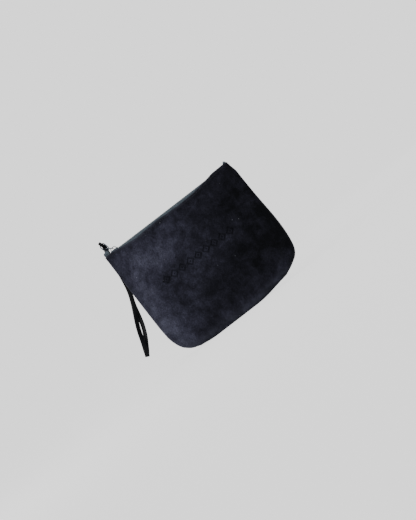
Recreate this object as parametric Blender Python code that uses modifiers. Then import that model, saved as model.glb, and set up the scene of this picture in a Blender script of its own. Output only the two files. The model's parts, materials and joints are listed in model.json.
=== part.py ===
"""Small zipped leather pouch with a boxed base, a metal zip along the top and a wrist strap on the zip pull.

Frame: metres, +Z up, +X along the zip away from the closed end's slider, front of the pouch towards -Y.
Origin: on the surface that the pouch stands on, under the middle of its base.
Run it with blender --background --python part.py, or from Blender's text editor.
"""

from math import cos, pi, radians, sin

import bmesh
import bpy
from mathutils import Matrix, Vector

# Body, outside sizes
WIDTH = 0.210             # across the side seams
ZIP_HEIGHT = 0.1735       # middle of the teeth above the base
EDGE_DROP = 0.0030        # from the middle of the teeth down to the leather's top edge
BASE_DEPTH = 0.048        # front to back across the boxed base
BASE_LENGTH = 0.150       # along the flat of the base, between its rounded ends
BELLY = 0.0030            # how far each face bulges past a straight taper

# Sheet thicknesses and the clearances between pieces
LEATHER = 0.0014
LINING = 0.0006
TAPE = 0.0005
GAP = 0.0003              # between two pieces that touch
SEAM_GAP = 0.0003         # between the two panels along a seam
LINING_EASE = 0.0010      # between leather and lining
LINING_SEAM = 0.0016      # from the middle plane to each lining's side edges
LINING_DROP = 0.0040      # from the tape's hem down to the lining's top edge
RIM_EASE = 0.0012         # how far the base's rim lies inside its full depth

# Zip
TOOTH_PITCH = 0.0028
TOOTH_LENGTH = 0.0015     # along the zip
TOOTH_HEIGHT = 0.0026
TOOTH_HEAD = 0.00045      # from the centre line to the tip of a tooth
TOOTH_ROOT = 0.0030       # from the centre line to the back of a tooth
TOOTH_CORD = 0.0008       # thick edge of the tape that the teeth are clamped on
FIRST_TOOTH = 0.6         # share of a pitch before the first tooth
HEAD_TAPER = 0.72         # height of a tooth's head as a share of its root's
TAPE_HEM = 0.014          # depth of tape sewn behind the leather's edge
TAPE_TURN = 0.0007        # radius of the tape's turn down behind the leather
ZIP_END = 0.0100          # from the right side seam to the end of the teeth
TAB_LENGTH = 0.0074       # folded fabric tab over each end of the zip
TAB_THICKNESS = 0.0011
TAB_PROUD = 0.0002        # how far a tab stands out past the side seam
TAB_EASE = 0.0004         # between a tab's sides and the leather
TAB_ARCH = 1.15           # how much further the tab's upper layer stands off the zip than its lower one
TAPE_EASE = 0.0005        # between a tape and the leather over it
STOP_LENGTH = 0.0020
STOP_PROUD = 0.0002       # how far a stop stands past the teeth, up and down
STOP_INSIDE = 0.0009      # from the middle plane to each top stop
STOP_ROUNDING = 0.0003

# Slider
SLIDER_END = 0.00975      # from the left side seam to the slider, zip closed
SLIDER_LENGTH = 0.0115
SLIDER_WIDTH = 0.0096
SLIDER_EASE = 0.0007      # between the slider's side walls and the tapes behind the leather
SLIDER_ROUNDING = 0.00025
PLATE = 0.0010            # thickness of the slider's plates and side walls
TAPE_SLOT = 0.0011        # slot between the side walls for the tape
WEDGE = 0.0005            # thickness of the keel between the rows of teeth
WEDGE_LENGTH = 0.0030
BAIL_HEIGHT = 0.0034      # over the upper plate
BAIL_WIDTH = 0.0026
BAIL_SPAN = 0.0078
BAIL_STRIP = 0.0008       # thickness of the bent strip

# Pull link, ring and wrist strap
PIVOT_RISE = 0.0016       # the link's cross bar above the foot of the bail
LINK_LENGTH = 0.0095      # between the middles of its two cross bars
LINK_WIDTH = 0.0070
LINK_WIRE = 0.0014
LINK_CORNER = 0.0013      # radius of the link's corners, at the middle of its wire
LINK_TILT = 35.0          # degrees above the zip, pointing off the closed end
RING_WIDTH = 0.0086
RING_LENGTH = 0.0140
RING_WIRE = 0.0014
RING_TILT = 75.0
STRAP_WIDTH = 0.0064
STRAP_THICKNESS = 0.0015
EYE_WIDTH = 0.0042        # the strap is cut narrower where it passes through the ring
EYE_BORE = 0.0019         # inner radius of the strap's eye round the ring
FOLD_RADIUS = 0.0021      # middle of the strap's thickness at the far fold
STRAND_GAP = 0.0004       # between the two strands where they are sewn together
STRAP_SPREAD = 0.0034     # sideways offset of each strand where the loop opens
STRAP_TWIST = 28.0        # degrees that each strand turns there

# Sewing
THREAD = 0.0005
STITCH = 0.0034
STITCH_DROP = 0.0032      # from the leather's edge down to its row of stitches
STITCH_EASE = 0.0002      # between the thread and what it lies on
STITCH_RISE = 0.00015     # how much every second point of a row stands higher
TAB_STITCH_INSET = 0.0016

EDGE_HEIGHT = ZIP_HEIGHT - EDGE_DROP
HALF = WIDTH / 2
MOUTH = SLIDER_WIDTH / 2 + SLIDER_EASE + TAPE + TAPE_EASE + LEATHER   # outside of the leather at the zip
SLIDER_X = -HALF + SLIDER_END + SLIDER_LENGTH / 2
TEETH_FROM = SLIDER_X - SLIDER_LENGTH / 2
TEETH_TO = HALF - ZIP_END


def clear_scene():
    for item in list(bpy.data.objects):
        bpy.data.objects.remove(item, do_unlink=True)


def make_collection(name):
    collection = bpy.data.collections.new(name)
    bpy.context.scene.collection.children.link(collection)
    return collection


def make_material(name, colour, roughness, metallic=0.0):
    material = bpy.data.materials.new(name)
    material.use_nodes = True
    shader = material.node_tree.nodes["Principled BSDF"]
    shader.inputs["Base Color"].default_value = (*colour, 1.0)
    shader.inputs["Roughness"].default_value = roughness
    shader.inputs["Metallic"].default_value = metallic
    material.diffuse_color = (*colour, 1.0)
    return material


clear_scene()
PARTS = make_collection("zippered_pouch")
CUTTERS = make_collection("cutters")
SUEDE = make_material("suede", (0.022, 0.023, 0.034), 0.92)
COTTON = make_material("cotton", (0.030, 0.032, 0.042), 0.85)
WEBBING = make_material("zip_tape", (0.045, 0.062, 0.080), 0.80)
GUNMETAL = make_material("gunmetal", (0.100, 0.115, 0.130), 0.35, 0.9)
STRAP_LEATHER = make_material("strap_leather", (0.006, 0.009, 0.013), 0.45)
SEWING = make_material("thread", (0.020, 0.022, 0.030), 0.75)


def add_object(name, mesh, material, collection=PARTS):
    item = bpy.data.objects.new(name, mesh)
    mesh.materials.clear()
    mesh.materials.append(material)
    collection.objects.link(item)
    return item


def mesh_from(bm, name):
    bmesh.ops.recalc_face_normals(bm, faces=bm.faces)
    mesh = bpy.data.meshes.new(name)
    bm.to_mesh(mesh)
    bm.free()
    return mesh


def smooth(item, angle=35.0):
    item.data.shade_smooth()
    item.data.set_sharp_from_angle(angle=radians(angle))


def box_into(bm, low, high):
    """A cuboid between two corners, added to bm."""
    centre = [(a + b) / 2 for a, b in zip(low, high)]
    size = [b - a for a, b in zip(low, high)]
    place = Matrix.Translation(centre) @ Matrix.Diagonal((*size, 1.0))
    return bmesh.ops.create_cube(bm, size=1.0, matrix=place)["verts"]


def add_box(name, low, high, material, bevel=0.0, collection=PARTS):
    bm = bmesh.new()
    box_into(bm, low, high)
    item = add_object(name, mesh_from(bm, name), material, collection)
    if bevel:
        modifier = item.modifiers.new("rounded", "BEVEL")
        modifier.width = bevel
        modifier.segments = 2
    return item


def join_by_union(item, others):
    """Makes item and the objects in others one closed body."""
    for other in others:
        modifier = item.modifiers.new("join_" + other.name, "BOOLEAN")
        modifier.operation = "UNION"
        modifier.object = other
        hide_helper(other)


def hide_helper(item):
    item.hide_render = True
    item.display_type = "WIRE"


def add_wire(name, points, radius, material, closed=False, sides=2):
    """A round wire through points, with filled ends."""
    curve = bpy.data.curves.new(name, "CURVE")
    curve.dimensions = "3D"
    curve.bevel_depth = radius
    curve.bevel_resolution = sides
    curve.use_fill_caps = not closed
    spline = curve.splines.new("POLY")
    spline.points.add(len(points) - 1)
    for place, point in zip(spline.points, points):
        place.co = (*point, 1.0)
    spline.use_cyclic_u = closed
    curve.materials.append(material)
    item = bpy.data.objects.new(name, curve)
    PARTS.objects.link(item)
    return item


def through(stations, t):
    """A smooth curve through evenly spaced stations (tuples), at t from 0 to 1."""
    last = len(stations) - 1
    place = min(max(t, 0.0), 1.0) * last
    i = min(int(place), last - 1)
    f = place - i
    a, b, c, d = (stations[min(max(i + k, 0), last)] for k in (-1, 0, 1, 2))
    return tuple(
        0.5 * (2 * q + (r - p) * f + (2 * p - 5 * q + 4 * r - s) * f * f + (3 * q - p - 3 * r + s) * f**3)
        for p, q, r, s in zip(a, b, c, d)
    )


# Body panels and lining ---------------------------------------------------------------------------

# Share of the height, share of the half width, and share of the way from the mouth's to the base's depth.
# The half width falls to the base's own length where the boxed corners turn under.
BODY_ROWS = (
    (1.00, 1.000, 0.00),
    (0.94, 1.002, 0.05),
    (0.78, 1.003, 0.18),
    (0.60, 1.003, 0.36),
    (0.42, 1.002, 0.56),
    (0.27, 0.998, 0.74),
)
# The turned corner: height, then share of the way from the full half width to the base's half length
CORNER_ROWS = (
    (0.030, 0.06, 0.90),
    (0.015, 0.26, 0.97),
    (0.0055, 0.58, 1.00),
)
BASE_SHARES = (0.12, 0.55, 1.0)   # rows of the base, from its rim to the seam along its middle
SEAM_INSET = 0.12                 # how far the base seam's ends stop short of the base's ends


def body_section(height, half_width, depth, belly, seam):
    """Cage points of one half section, from side seam to side seam, with y from the middle plane."""
    side = depth - 0.9 * belly
    ease = 0.55 * depth
    left = [
        (-half_width, seam),
        (-half_width, 0.55 * side),
        (-half_width + 0.12 * ease, side),
        (-half_width + 0.016 + 0.3 * ease, side + 0.35 * (depth + belly - side)),
        (-half_width * 0.52, side + 0.80 * (depth + belly - side)),
    ]
    middle = [(0.0, depth + belly)]
    right = [(-x, y) for x, y in reversed(left)]
    return [(x, y, height) for x, y in left + middle + right]


def body_cage(seam):
    """Cage points of a half shell, row by row from the mouth down the face and under the base to its seam."""
    base = BASE_DEPTH / 2
    rows = []
    for share, width, deep in BODY_ROWS:
        depth = MOUTH + (base - MOUTH) * deep
        belly = BELLY * sin(pi * share) if share < 1 else 0.0
        rows.append(body_section(share * EDGE_HEIGHT, HALF * width, depth, belly, seam))
    for height, turn, deep in CORNER_ROWS:
        half = HALF + (BASE_LENGTH / 2 - HALF) * turn
        depth = MOUTH + (base - MOUTH) * deep
        rows.append(body_section(height, half, depth, 0.0, seam))
    rim = body_section(0.0, BASE_LENGTH / 2, base - RIM_EASE, 0.0, seam)
    rows.append(rim)
    for share in BASE_SHARES:
        rows.append([(x * (1 - SEAM_INSET * share), y + (seam - y) * share, 0.0) for x, y, _ in rim])
    return rows


def half_shell(name, side, seam, inset, thickness, material):
    """One panel: a lofted half shell, rounded, moved in by inset and given its thickness inwards."""
    bm = bmesh.new()
    grid = [[bm.verts.new((x, side * y, z)) for x, y, z in row] for row in body_cage(seam)]
    for upper, lower in zip(grid, grid[1:]):
        for j in range(len(upper) - 1):
            corners = [upper[j], upper[j + 1], lower[j + 1], lower[j]]
            bm.faces.new(corners if side > 0 else corners[::-1])
    mesh = bpy.data.meshes.new(name)
    bm.to_mesh(mesh)
    bm.free()
    item = add_object(name, mesh, material)
    rounded = item.modifiers.new("rounded", "SUBSURF")
    rounded.levels = 1
    rounded.render_levels = 1
    if inset:
        moved = item.modifiers.new("moved_in", "DISPLACE")
        moved.mid_level = 0.0
        moved.strength = -inset
    wall = item.modifiers.new("thickness", "SOLIDIFY")
    wall.thickness = thickness
    wall.offset = -1.0
    smooth(item)
    return item


def add_body():
    for name, side in (("front", -1), ("back", 1)):
        half_shell(name + "_panel", side, SEAM_GAP / 2, 0.0, LEATHER, SUEDE)
        lining = half_shell(name + "_lining", side, LINING_SEAM, LEATHER + LINING_EASE, LINING, COTTON)
        cut = add_box(
            name + "_lining_trim",
            (-WIDTH, -BASE_DEPTH, EDGE_HEIGHT - TAPE_HEM - LINING_DROP),
            (WIDTH, BASE_DEPTH, ZIP_HEIGHT + TAPE_HEM),
            COTTON,
            collection=CUTTERS,
        )
        hide_helper(cut)
        trim = lining.modifiers.new("trim", "BOOLEAN")
        trim.operation = "DIFFERENCE"
        trim.object = cut


# Zip ----------------------------------------------------------------------------------------------


def add_tape(name, side):
    """A zip tape: flat beside the teeth, then turned down behind the leather's edge."""
    inner = TOOTH_ROOT + TOOTH_CORD / 2 + GAP
    wall = MOUTH - LEATHER - TAPE_EASE - TAPE / 2
    profile = [
        (inner, ZIP_HEIGHT),
        (wall - TAPE_TURN, ZIP_HEIGHT),
        (wall - TAPE_TURN * (1 - sin(pi / 4)), ZIP_HEIGHT - TAPE_TURN * (1 - cos(pi / 4))),
        (wall, ZIP_HEIGHT - TAPE_TURN),
        (wall, EDGE_HEIGHT - TAPE_HEM),
    ]
    start, end = -HALF + TAB_LENGTH + GAP, HALF - TAB_LENGTH - GAP
    bm = bmesh.new()
    near = [bm.verts.new((start, side * y, z)) for y, z in profile]
    far = [bm.verts.new((end, side * y, z)) for y, z in profile]
    for i in range(len(profile) - 1):
        bm.faces.new([near[i], near[i + 1], far[i + 1], far[i]])
    mesh = bpy.data.meshes.new(name)
    bm.to_mesh(mesh)
    bm.free()
    item = add_object(name, mesh, WEBBING)
    wall_modifier = item.modifiers.new("thickness", "SOLIDIFY")
    wall_modifier.thickness = TAPE
    wall_modifier.offset = 0.0
    wall_modifier.use_even_offset = True
    smooth(item)
    return item


def add_teeth(name, side, phase):
    """One row of metal teeth on the thick edge of its tape, joined into one body by that edge."""
    bm = bmesh.new()
    half_cord = TOOTH_CORD / 2
    root = side * TOOTH_ROOT
    box_into(
        bm,
        (TEETH_FROM, min(root - half_cord, root + half_cord), ZIP_HEIGHT - half_cord),
        (TEETH_TO, max(root - half_cord, root + half_cord), ZIP_HEIGHT + half_cord),
    )
    cord = add_object(name, mesh_from(bm, name), GUNMETAL)
    bm = bmesh.new()
    x = TEETH_FROM + TOOTH_PITCH * (FIRST_TOOTH + phase)
    while x + TOOTH_LENGTH < TEETH_TO - STOP_LENGTH - GAP:
        inside, outside = side * TOOTH_HEAD, side * (TOOTH_ROOT + half_cord * 0.5)
        verts = box_into(
            bm,
            (x, min(inside, outside), ZIP_HEIGHT - TOOTH_HEIGHT / 2),
            (x + TOOTH_LENGTH, max(inside, outside), ZIP_HEIGHT + TOOTH_HEIGHT / 2),
        )
        for vert in verts:
            if abs(vert.co.y - inside) < 1e-6:
                vert.co.z = ZIP_HEIGHT + (vert.co.z - ZIP_HEIGHT) * HEAD_TAPER
        x += TOOTH_PITCH
    teeth = add_object(name + "_cut", mesh_from(bm, name + "_cut"), GUNMETAL, CUTTERS)
    join_by_union(cord, [teeth])
    return cord


def add_stops():
    """Two small clamps where the teeth begin, one on each tape, and a block across both rows at their end."""
    height = TOOTH_HEIGHT / 2 + STOP_PROUD
    for name, side in (("top_stop_front", -1), ("top_stop_back", 1)):
        inside, outside = side * STOP_INSIDE, side * (TOOTH_ROOT + TOOTH_CORD / 2)
        end = TEETH_FROM - GAP
        add_box(
            name,
            (end - STOP_LENGTH, min(inside, outside), ZIP_HEIGHT - height),
            (end, max(inside, outside), ZIP_HEIGHT + height),
            GUNMETAL,
            bevel=STOP_ROUNDING,
        )
    start = TEETH_TO + GAP
    reach = TOOTH_ROOT + TOOTH_CORD / 2
    add_box(
        "bottom_stop",
        (start, -reach, ZIP_HEIGHT - height),
        (start + STOP_LENGTH, reach, ZIP_HEIGHT + height),
        GUNMETAL,
        bevel=STOP_ROUNDING,
    )


def add_tab(name, side):
    """A fabric tab folded over one end of the zip, standing just above the leather."""
    outer = HALF + TAB_PROUD - TAB_THICKNESS / 2
    inner = HALF - TAB_LENGTH
    layer = TOOTH_HEIGHT / 2 + STOP_PROUD
    half = MOUTH - LEATHER - TAB_EASE
    profile = [(inner, layer), (outer - layer, layer * TAB_ARCH)]
    profile += [
        (outer - layer + layer * sin(pi * k / 6), layer * cos(pi * k / 6) * (TAB_ARCH if k < 3 else 1.0))
        for k in range(1, 6)
    ]
    profile += [(outer - layer, -layer), (inner, -layer)]
    bm = bmesh.new()
    front = [bm.verts.new((side * x, -half, ZIP_HEIGHT + z)) for x, z in profile]
    back = [bm.verts.new((side * x, half, ZIP_HEIGHT + z)) for x, z in profile]
    for i in range(len(profile) - 1):
        bm.faces.new([front[i], front[i + 1], back[i + 1], back[i]])
    mesh = bpy.data.meshes.new(name)
    bm.to_mesh(mesh)
    bm.free()
    item = add_object(name, mesh, WEBBING)
    wall = item.modifiers.new("thickness", "SOLIDIFY")
    wall.thickness = TAB_THICKNESS
    wall.offset = 0.0
    wall.use_even_offset = True
    smooth(item)
    return item


def add_zip():
    for name, side, phase in (("front", -1, 0.0), ("back", 1, 0.5)):
        add_tape("zip_tape_" + name, side)
        add_teeth("zip_teeth_" + name, side, phase)
    add_stops()
    add_tab("end_tab_left", -1)
    add_tab("end_tab_right", 1)


# Slider, link and ring ----------------------------------------------------------------------------

CHANNEL = TOOTH_HEIGHT / 2 + GAP          # from the middle of the teeth to a plate
SLIDER_TOP = ZIP_HEIGHT + CHANNEL + PLATE
PIVOT = Vector((SLIDER_X, 0.0, SLIDER_TOP + GAP + PIVOT_RISE))


def tilted(angle):
    """Unit vector in the plane of the zip and the height, rising by angle degrees off the closed end."""
    return Vector((-cos(radians(angle)), 0.0, sin(radians(angle))))


LINK_END = PIVOT + tilted(LINK_TILT) * LINK_LENGTH
RING_BEND = (RING_WIDTH - RING_WIRE) / 2
RING_STRAIGHT = RING_LENGTH - RING_WIDTH
EYE = LINK_END + tilted(RING_TILT) * (RING_STRAIGHT + RING_BEND)


def add_slider():
    """Two plates joined by side walls, slotted for the tapes, and by the keel between the rows of teeth."""
    start, end = SLIDER_X - SLIDER_LENGTH / 2, SLIDER_X + SLIDER_LENGTH / 2
    half = SLIDER_WIDTH / 2
    slot = TAPE_SLOT / 2
    top = add_box(
        "slider_body",
        (start, -half, ZIP_HEIGHT + CHANNEL),
        (end, half, ZIP_HEIGHT + CHANNEL + PLATE),
        GUNMETAL,
    )
    pieces = [
        ("under_plate", (start, -half, -CHANNEL - PLATE), (end, half, -CHANNEL)),
        (
            "keel",
            (start, -WEDGE / 2, -CHANNEL - PLATE / 2),
            (start + WEDGE_LENGTH, WEDGE / 2, CHANNEL + PLATE / 2),
        ),
    ]
    for row, side in (("front", -1), ("back", 1)):
        low, high = sorted((side * (half - PLATE), side * half))
        pieces.append((f"upper_wall_{row}", (start, low, slot), (end, high, CHANNEL + PLATE / 2)))
        pieces.append((f"lower_wall_{row}", (start, low, -CHANNEL - PLATE / 2), (end, high, -slot)))
    lift = Vector((0.0, 0.0, ZIP_HEIGHT))
    others = [
        add_box("cut_" + name, Vector(low) + lift, Vector(high) + lift, GUNMETAL, collection=CUTTERS)
        for name, low, high in pieces
    ]
    join_by_union(top, others)
    edges = top.modifiers.new("rounded", "BEVEL")
    edges.width = SLIDER_ROUNDING
    edges.segments = 1
    edges.limit_method = "ANGLE"
    return top


# Half of the bail's arch, from its foot to its flat top, as shares of its half span and of its height
BAIL_ARCH = ((1.0, 0.0), (1.0, 0.55), (0.82, 0.88), (0.5, 1.0))


def add_bail():
    """The bridge on the slider that the link hangs from: a bent strip on the upper plate."""
    half, foot = BAIL_SPAN / 2, SLIDER_TOP + GAP
    rise = BAIL_HEIGHT - BAIL_STRIP / 2
    arch = [(-half * x, rise * z) for x, z in BAIL_ARCH]
    profile = arch + [(-x, z) for x, z in reversed(arch)]
    bm = bmesh.new()
    front = [bm.verts.new((SLIDER_X + x, -BAIL_WIDTH / 2, foot + z)) for x, z in profile]
    back = [bm.verts.new((SLIDER_X + x, BAIL_WIDTH / 2, foot + z)) for x, z in profile]
    for i in range(len(profile) - 1):
        bm.faces.new([front[i], front[i + 1], back[i + 1], back[i]])
    mesh = bpy.data.meshes.new("slider_bail")
    bm.to_mesh(mesh)
    bm.free()
    item = add_object("slider_bail", mesh, GUNMETAL)
    strip = item.modifiers.new("thickness", "SOLIDIFY")
    strip.thickness = BAIL_STRIP
    strip.offset = 0.0
    smooth(item)
    return item


def rounded_loop(centre, along, across, length, width, radius, corner=4):
    """Points round a rectangle with rounded corners that starts at centre and runs length along."""
    points = []
    for end, way, start in ((length, 1, 0.0), (length, -1, 90.0), (0.0, -1, 180.0), (0.0, 1, 270.0)):
        inset = -radius if end else radius
        pivot = centre + along * (end + inset) + across * way * (width / 2 - radius)
        for k in range(corner + 1):
            angle = radians(start + 90.0 * k / corner)
            points.append(pivot + (across * cos(angle) + along * sin(angle)) * radius)
    return points


def add_link():
    return add_wire(
        "pull_link",
        rounded_loop(
            PIVOT, tilted(LINK_TILT), Vector((0, 1, 0)), LINK_LENGTH, LINK_WIDTH - LINK_WIRE, LINK_CORNER
        ),
        LINK_WIRE / 2,
        GUNMETAL,
        closed=True,
    )


def add_ring():
    up = tilted(RING_TILT)
    across = Vector((up.z, 0.0, -up.x))
    start = LINK_END - up * RING_BEND
    length = RING_STRAIGHT + 2 * RING_BEND
    return add_wire(
        "strap_ring",
        rounded_loop(start, up, across, length, 2 * RING_BEND, RING_BEND, corner=8),
        RING_WIRE / 2,
        GUNMETAL,
        closed=True,
    )


# Wrist strap --------------------------------------------------------------------------------------

STRAP_LEAD = 0.008        # how far the strap runs straight off the ring
STRAP_LEAVES = Vector((0.0, 1.0, 0.0)) - tilted(RING_TILT)   # off the ring, down and to the back
# How the strap hangs from the ring to its fold: out past the left side seam, behind the mouth's back face,
# and down from the middle of the teeth
STRAP_HANG = (
    (-0.0055, 0.0019, -0.0045),
    (-0.0032, 0.0039, 0.0135),
    (-0.0008, 0.0069, 0.0335),
    (0.0035, 0.0101, 0.0545),
    (0.0110, 0.0134, 0.0745),
    (0.0185, 0.0164, 0.0955),
    (0.0262, 0.0189, 0.1165),
    (0.0355, 0.0209, 0.1365),
)
STRAP_LINE = [tuple(EYE), tuple(EYE + STRAP_LEAVES.normalized() * STRAP_LEAD)]
STRAP_LINE += [(-HALF - out, MOUTH + behind, ZIP_HEIGHT - down) for out, behind, down in STRAP_HANG]
STRAP_STEPS = 34
# Shares of the strap's line: where the strands leave the eye, widen, part, spread into the loop, are sewn
STRANDS_FROM = 0.055
WIDENS = (0.07, 0.12)
PARTING = (0.40, 0.90)
SPREADS = (0.42, 1.04)
SEWN = (0.12, 0.24)
EYE_FROM = 295            # degrees round the ring's wire that the eye starts at, and how far it turns
EYE_TURN = 230


def strap_frame(t):
    """Middle point, direction, sideways and outward vectors of the folded strap at t."""
    step = 0.01
    here = Vector(through(STRAP_LINE, t))
    ahead = Vector(through(STRAP_LINE, min(t + step, 1.0)))
    behind = Vector(through(STRAP_LINE, max(t - step, 0.0)))
    along = (ahead - behind).normalized()
    across = along.cross(Vector((0.0, 1.0, 0.0))).normalized()
    return here, along, across, across.cross(along)


def bump(t, low, high):
    """0 outside low and high, 1 half way between them, smooth."""
    return sin(pi * (t - low) / (high - low)) ** 2 if low < t < high else 0.0


def climb(t, low, high):
    """0 before low, 1 after high and even between them."""
    return min(1.0, max(0.0, (t - low) / (high - low)))


def strap_sections():
    """Sections of the strap once round its loop: centre, sideways vector, outward vector and width."""
    together = (STRAP_THICKNESS + STRAND_GAP) / 2
    bend = EYE_BORE + STRAP_THICKNESS / 2
    down, up = [], []
    for k in range(STRAP_STEPS + 1):
        t = STRANDS_FROM + (1 - STRANDS_FROM) * k / STRAP_STEPS
        here, along, across, outward = strap_frame(t)
        spread = STRAP_SPREAD * bump(t, *SPREADS)
        apart = together + (FOLD_RADIUS - together) * climb(t, *PARTING)
        width = EYE_WIDTH + (STRAP_WIDTH - EYE_WIDTH) * climb(t, *WIDENS)
        if k == STRAP_STEPS:
            spread = 0.0
        for strand, way in ((down, 1), (up, -1)):
            twist = radians(STRAP_TWIST) * spread / STRAP_SPREAD
            side = across * cos(twist) - outward * way * sin(twist)
            centre = here + outward * way * apart + across * way * spread
            strand.append((centre, side, side.cross(along) * way, width))
    here, along, across, outward = strap_frame(1.0)
    fold = []
    for k in range(1, 6):
        angle = pi * k / 6
        away = outward * cos(angle) + along * sin(angle)
        fold.append((here + away * FOLD_RADIUS, across, away, STRAP_WIDTH))
    eye_at, along, across, outward = strap_frame(0.0)
    eye = []
    for k in range(11):
        angle = radians(EYE_FROM - EYE_TURN * k / 10)
        away = along * cos(angle) + outward * sin(angle)
        eye.append((eye_at + away * bend, across, away, EYE_WIDTH))
    return down + fold + up[::-1] + eye


def add_strap():
    """The wrist strap: one flat strip of leather, swept once round its closed loop."""
    bm = bmesh.new()
    rings = []
    for centre, across, away, width in strap_sections():
        a = across * width / 2
        b = away.normalized() * STRAP_THICKNESS / 2
        rings.append([bm.verts.new(centre + x * a + y * b) for x, y in ((-1, -1), (1, -1), (1, 1), (-1, 1))])
    for one, two in zip(rings, rings[1:] + rings[:1]):
        for j in range(4):
            bm.faces.new([one[j], one[(j + 1) % 4], two[(j + 1) % 4], two[j]])
    item = add_object("wrist_strap", mesh_from(bm, "wrist_strap"), STRAP_LEATHER)
    smooth(item)
    return item


def add_strap_stitch():
    """The thread that holds the two strands of the strap together below the ring, seen on its outer face."""
    reach = STRAP_THICKNESS + STRAND_GAP / 2 + STITCH_EASE + THREAD / 2
    points = []
    for k in range(12):
        here, _, _, outward = strap_frame(SEWN[0] + (SEWN[1] - SEWN[0]) * k / 11)
        points.append(here + outward * (reach + STITCH_RISE * (k % 2)))
    return add_wire("strap_stitch", points, THREAD / 2, SEWING, sides=1)


# Sewing -------------------------------------------------------------------------------------------


def add_zip_stitch(name, side, panel):
    """The row of stitches that holds the leather's edge to a zip tape, lying on the leather."""
    graph = bpy.context.evaluated_depsgraph_get()
    surface = panel.evaluated_get(graph)
    reach = HALF - TAB_LENGTH - STITCH
    count = int(2 * reach / STITCH)
    points = []
    for k in range(count + 1):
        x = -reach + 2 * reach * k / count
        start = Vector((x, side * BASE_DEPTH, EDGE_HEIGHT - STITCH_DROP))
        found, place, _, _ = surface.ray_cast(start, Vector((0.0, -side, 0.0)))
        if found:
            off = THREAD / 2 + STITCH_EASE + STITCH_RISE * (k % 2)
            points.append(place + Vector((0.0, side * off, 0.0)))
    return add_wire(name, points, THREAD / 2, SEWING, sides=1)


def add_tab_stitch(name, side):
    """The short row of stitches across an end tab."""
    layer = TOOTH_HEIGHT / 2 + STOP_PROUD
    top = ZIP_HEIGHT + layer * TAB_ARCH + TAB_THICKNESS / 2 + STITCH_EASE + THREAD / 2
    half = MOUTH - LEATHER - TAB_STITCH_INSET
    x = side * (HALF - TAB_LENGTH + TAB_STITCH_INSET)
    points = [Vector((x, -half + 2 * half * k / 4, top + STITCH_RISE * (k % 2))) for k in range(5)]
    return add_wire(name, points, THREAD / 2, SEWING, sides=1)


def main():
    add_body()
    add_zip()
    add_slider()
    add_bail()
    add_link()
    add_ring()
    add_strap()
    add_strap_stitch()
    bpy.context.view_layer.update()
    add_zip_stitch("zip_stitch_front", -1, bpy.data.objects["front_panel"])
    add_zip_stitch("zip_stitch_back", 1, bpy.data.objects["back_panel"])
    add_tab_stitch("tab_stitch_left", -1)
    add_tab_stitch("tab_stitch_right", 1)


main()
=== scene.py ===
"""The looks of the zipped leather pouch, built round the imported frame. Metres, +Z up, front towards -Y."""

import json
from math import cos, pi, radians, sin

import bmesh
import bpy
import numpy as np
from mathutils import Matrix, Vector, noise
from mathutils.bvhtree import BVHTree

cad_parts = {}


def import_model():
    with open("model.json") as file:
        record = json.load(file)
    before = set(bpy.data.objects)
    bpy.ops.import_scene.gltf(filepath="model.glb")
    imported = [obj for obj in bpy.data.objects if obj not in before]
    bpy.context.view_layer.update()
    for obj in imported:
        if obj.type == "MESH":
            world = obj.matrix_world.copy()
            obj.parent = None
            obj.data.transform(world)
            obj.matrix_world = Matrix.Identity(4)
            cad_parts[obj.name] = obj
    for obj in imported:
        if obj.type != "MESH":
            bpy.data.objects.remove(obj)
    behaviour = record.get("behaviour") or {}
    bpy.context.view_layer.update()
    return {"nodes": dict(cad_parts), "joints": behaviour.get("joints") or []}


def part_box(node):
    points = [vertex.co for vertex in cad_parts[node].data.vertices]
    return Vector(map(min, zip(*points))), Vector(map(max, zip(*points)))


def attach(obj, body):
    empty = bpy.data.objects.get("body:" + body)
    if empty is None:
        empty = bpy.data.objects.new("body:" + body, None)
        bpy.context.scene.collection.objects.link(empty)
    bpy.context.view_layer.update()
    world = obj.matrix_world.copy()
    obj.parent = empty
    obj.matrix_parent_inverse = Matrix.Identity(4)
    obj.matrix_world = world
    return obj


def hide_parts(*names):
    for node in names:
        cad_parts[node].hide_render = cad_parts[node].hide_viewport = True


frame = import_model()


# Sizes read from the frame --------------------------------------------


def corners(node):
    low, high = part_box(node)
    return Vector(low), Vector(high)


TEETH_LOW, TEETH_HIGH = corners("zip_teeth_front")
TAPE_LOW, TAPE_HIGH = corners("zip_tape_front")
TAB_LOW, TAB_HIGH = corners("end_tab_right")
SLIDER_LOW, SLIDER_HIGH = corners("slider_body")
BAIL_LOW, BAIL_HIGH = corners("slider_bail")
JOINTS = {joint["name"]: joint for joint in frame["joints"]}
EDGE = corners("front_panel")[1].z          # the leather's top edge
ZIP = (TEETH_LOW.z + TEETH_HIGH.z) / 2      # middle of the teeth

# Sizes of the leather body that its cage starts from, the same as the frame's own
HALF = 0.105                                # half of the width across the side seams
BASE = 0.024                                # half of the base's depth
BASE_HALF = 0.075                           # half of the base's length
MOUTH = 0.0079                              # half of the depth over the leather at the zip
BELLY = 0.0030                              # how far each face bulges past a straight taper
LEATHER = 0.0014
LINING = 0.0005
SEAM = 0.00015                              # from the middle plane to each panel


def smoothstep(low, high, x):
    t = np.clip((x - low) / (high - low), 0.0, 1.0)
    return t * t * (3 - 2 * t)


def fade(low, high, x):
    return 1 - smoothstep(low, high, x)


def spline(points, t):
    """Catmull-Rom through evenly spaced points (n, ...), at an array t from 0 to 1."""
    points = np.asarray(points, float)
    last = len(points) - 1
    place = np.clip(np.asarray(t, float), 0, 1) * last
    i = np.minimum(place.astype(int), last - 1)
    f = (place - i).reshape(-1, *[1] * (points.ndim - 1))
    a, b, c, d = (points[np.clip(i + k, 0, last)] for k in (-1, 0, 1, 2))
    return 0.5 * (2 * b + (c - a) * f + (2 * a - 5 * b + 4 * c - d) * f**2 + (3 * b - a - 3 * c + d) * f**3)


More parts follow.
